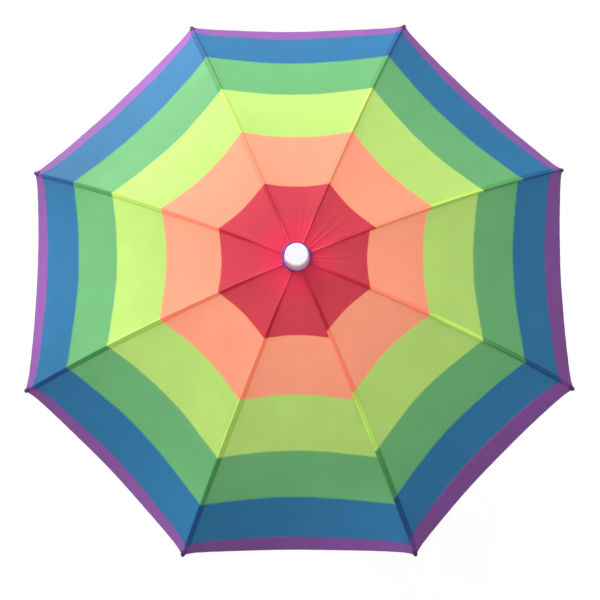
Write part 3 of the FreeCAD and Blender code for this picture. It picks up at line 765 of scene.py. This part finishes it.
def corner_pocket(rib):
    """Hem cloth sewn into a pocket over the rib's tip: flattened where it joins, round at the ball."""
    tip_slope = START_SLOPE + SWEEP
    around, steps = 20, 12
    inner_half, outer_half = 0.0052, 0.0044
    rings = []
    for step in range(steps + 1):
        t = step / steps
        slope = tip_slope - POCKET_LENGTH / BEND * (1 - t)
        half = inner_half * (1 - t) + outer_half * t
        top = CLOTH_LIFT + 0.0010 + 0.0003 * math.sin(math.pi * t)
        bottom = CLOTH_LIFT - 0.0009 - (CLOTH_LIFT + 0.0034) * min(1, t * 3) ** 0.8
        ring = []
        for k in range(around):
            turn = 2 * math.pi * k / around
            crease = 1 + 0.05 * math.sin(5 * turn + rib + 6 * t)
            across = math.copysign(abs(math.cos(turn)) ** 0.85, math.cos(turn)) * half * crease
            lift = (top + bottom) / 2 + (top - bottom) / 2 * math.sin(turn) * crease
            ring.append(rib_place(rib, slope, across, lift))
        rings.append(ring)
    piece = tube_piece(f"corner_pocket_{rib}", rings, pocket_cloth)
    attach(piece, f"rib_{rib}")


def thread_tie(rib, name, slope):
    """Two turns of thread round a rib, just under the cloth."""
    turns, steps, thick, travel = 2, 40, 0.00045, 0.0022
    top, bottom = CLOTH_LIFT - 0.0007, -0.0026
    loop_r, middle = (top - bottom) / 2, (top + bottom) / 2
    path = []
    for step in range(steps + 1):
        turn = 2 * math.pi * turns * step / steps
        slip = (step / steps - 0.5) * travel
        path.append(rib_place(rib, slope + slip / BEND, loop_r * math.sin(turn),
                              middle + loop_r * math.cos(turn)))
    rings = []
    for before, point, after in zip([path[0]] + path, path, path[1:] + [path[-1]]):
        ahead = (after - before) / np.linalg.norm(after - before)
        out = sideways(rib_azimuth(rib))
        first = np.cross(ahead, np.cross(out, ahead))
        first = first / max(np.linalg.norm(first), 1e-9)
        second = np.cross(ahead, first)
        rings.append([point + (first * math.cos(a) + second * math.sin(a)) * thick
                      for a in np.linspace(0, 2 * math.pi, 6, endpoint=False)])
    piece = tube_piece(f"{name}_{rib}", rings, thread_plain, capped=True)
    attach(piece, f"rib_{rib}")


def rosette():
    """Gathered round of purple cloth under the cap: eight soft corners, and a drooping pleated edge."""
    inner, hub_r, drop, pleat_height = 0.0105, 0.019, 0.0019, 0.00026
    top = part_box("cap_rosette")[1].z - 0.0005
    turns = np.linspace(0, 2 * math.pi, 192, endpoint=False)
    steps = np.concatenate([np.linspace(0, 1, 14), [1.0, 0.985, 0.93]])
    thick = np.array([0.0] * 14 + [0.0006, 0.0009, 0.0009])
    rings = []
    for t, under in zip(steps, thick):
        corner = 0.0013 * np.cos(RIBS * (turns - FIRST)) + 0.0006 * np.sin(3 * turns + 1)
        off_centre = 0.003 * np.cos(turns - math.radians(108))
        outer = ROSETTE_R + corner * t + off_centre
        radius = inner + (outer - inner) * t
        droop = np.clip((radius - hub_r) / (ROSETTE_R - hub_r), 0, 1.2) ** 1.4 * drop
        pleat = pleat_height * np.sin(19 * turns + 1.6 * np.sin(3 * turns)) * t ** 2
        height = top - droop + pleat * (droop > 0) - under
        ring = np.stack([radius * np.cos(turns), radius * np.sin(turns), height], axis=-1)
        rings.append(list(ring))
    piece = tube_piece("gathered_rosette", rings, purple_cloth)
    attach(piece, "upper_pole")
    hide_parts("cap_rosette")


finish_cad_nodes()
canopy()
TIES = (("inner_tie", 0.47), ("outer_tie", 0.78))  # how far along the rib each one is
for rib in range(1, RIBS + 1):
    seam_strip(rib)
    corner_pocket(rib)
    for name, part_way in TIES:
        thread_tie(rib, name, START_SLOPE + SWEEP * part_way)
rosette()


# ---- floor, light and camera ----
FLOOR_HALF, FLOOR_Z = 12.0, -0.001
WORLD_LIGHT = 0.585
SUN_ENERGY = 5.3
SUN_SIZE, SUN_ELEVATION, SUN_AZIMUTH = math.radians(45), math.radians(15), math.radians(127)
CAMERA_ELEVATION = math.radians(79)
CAMERA_TURN = FIRST - math.radians(18.95)  # about the vertical
CAMERA_ROLL = math.radians(3.75)
CAMERA_DISTANCE = TIP_R / 0.263
TIP_RADIUS_IN_FRAME = 290.1 / 600  # the tip radius as a share of the frame's width
SENSOR = 36


def studio():
    """A pale floor, even light from all round, and one low sun as wide as a softbox."""
    corners = [(x * FLOOR_HALF, y * FLOOR_HALF, FLOOR_Z) for x, y in ((-1, -1), (1, -1), (1, 1), (-1, 1))]
    floor = make_piece("floor", corners, [(0, 1, 2, 3)], floor_material())
    world = bpy.data.worlds.new("studio")
    bpy.context.scene.world = world
    world.use_nodes = True
    background = world.node_tree.nodes["Background"]
    background.inputs["Color"].default_value = (1.0, 1.0, 1.0, 1.0)
    background.inputs["Strength"].default_value = WORLD_LIGHT
    key = bpy.data.lights.new("key", "SUN")
    key.energy = SUN_ENERGY
    key.angle = SUN_SIZE
    lamp = bpy.data.objects.new("key", key)
    bpy.context.scene.collection.objects.link(lamp)
    level = math.cos(SUN_ELEVATION)
    towards = Vector((math.cos(SUN_AZIMUTH) * level, math.sin(SUN_AZIMUTH) * level,
                      math.sin(SUN_ELEVATION)))
    lamp.rotation_euler = towards.to_track_quat("Z", "Y").to_euler()


def floor_material():
    """White paper sweep with painted light: paler and glowing round the object, falling to the studio's
    grey far away.
    """
    shader = Shader("floor_white")
    place = shader.add("ShaderNodeTexCoord").outputs["Object"]
    reach = shader.add("ShaderNodeVectorMath", {0: place}, operation="LENGTH").outputs["Value"]
    far = shader.ramp(shader.math("DIVIDE", reach, 10.0), [(0.16, 0.0), (0.6, 1.0)], "EASE")
    near_tone, far_tone = (0.88, 0.88, 0.88, 1), (0.577, 0.577, 0.577, 1)
    tone = shader.mix(far, near_tone, far_tone)
    cloud = shader.ramp(shader.noise(3.0, 2.0), [(0.3, 0.98), (0.7, 1.0)])
    tone = shader.mix(1.0, tone, cloud, "MULTIPLY")
    # painted light: the floor glows round the object
    painted_glow = shader.math("MULTIPLY", shader.math("SUBTRACT", 1.0, far), 0.13)
    body = shader.add("ShaderNodeBsdfPrincipled", {
        "Base Color": tone, "Roughness": 0.9, "Specular IOR Level": 0.0,
        "Emission Color": (1, 1, 1, 1), "Emission Strength": painted_glow,
    })
    return shader.finish(body.outputs[0])


def camera():
    """Nearly straight above, as in the photograph, aimed at the height of the rib tips."""
    target = Vector((0, 0, TIP_Z))
    level = math.cos(CAMERA_ELEVATION)
    back = Vector((math.sin(CAMERA_TURN) * level, -math.cos(CAMERA_TURN) * level,
                   math.sin(CAMERA_ELEVATION)))
    data = bpy.data.cameras.new("camera")
    data.sensor_width = SENSOR
    data.lens = TIP_RADIUS_IN_FRAME * CAMERA_DISTANCE / TIP_R * SENSOR
    data.shift_x = 0.0027
    data.shift_y = -0.0353
    eye = bpy.data.objects.new("camera", data)
    bpy.context.scene.collection.objects.link(eye)
    facing = back.to_track_quat("Z", "Y").to_matrix().to_4x4()
    place = Matrix.Translation(target + back * CAMERA_DISTANCE)
    eye.matrix_world = place @ facing @ Matrix.Rotation(-CAMERA_ROLL, 4, "Z")
    bpy.context.scene.camera = eye


studio()
camera()
bpy.context.scene.view_settings.view_transform = "Standard"
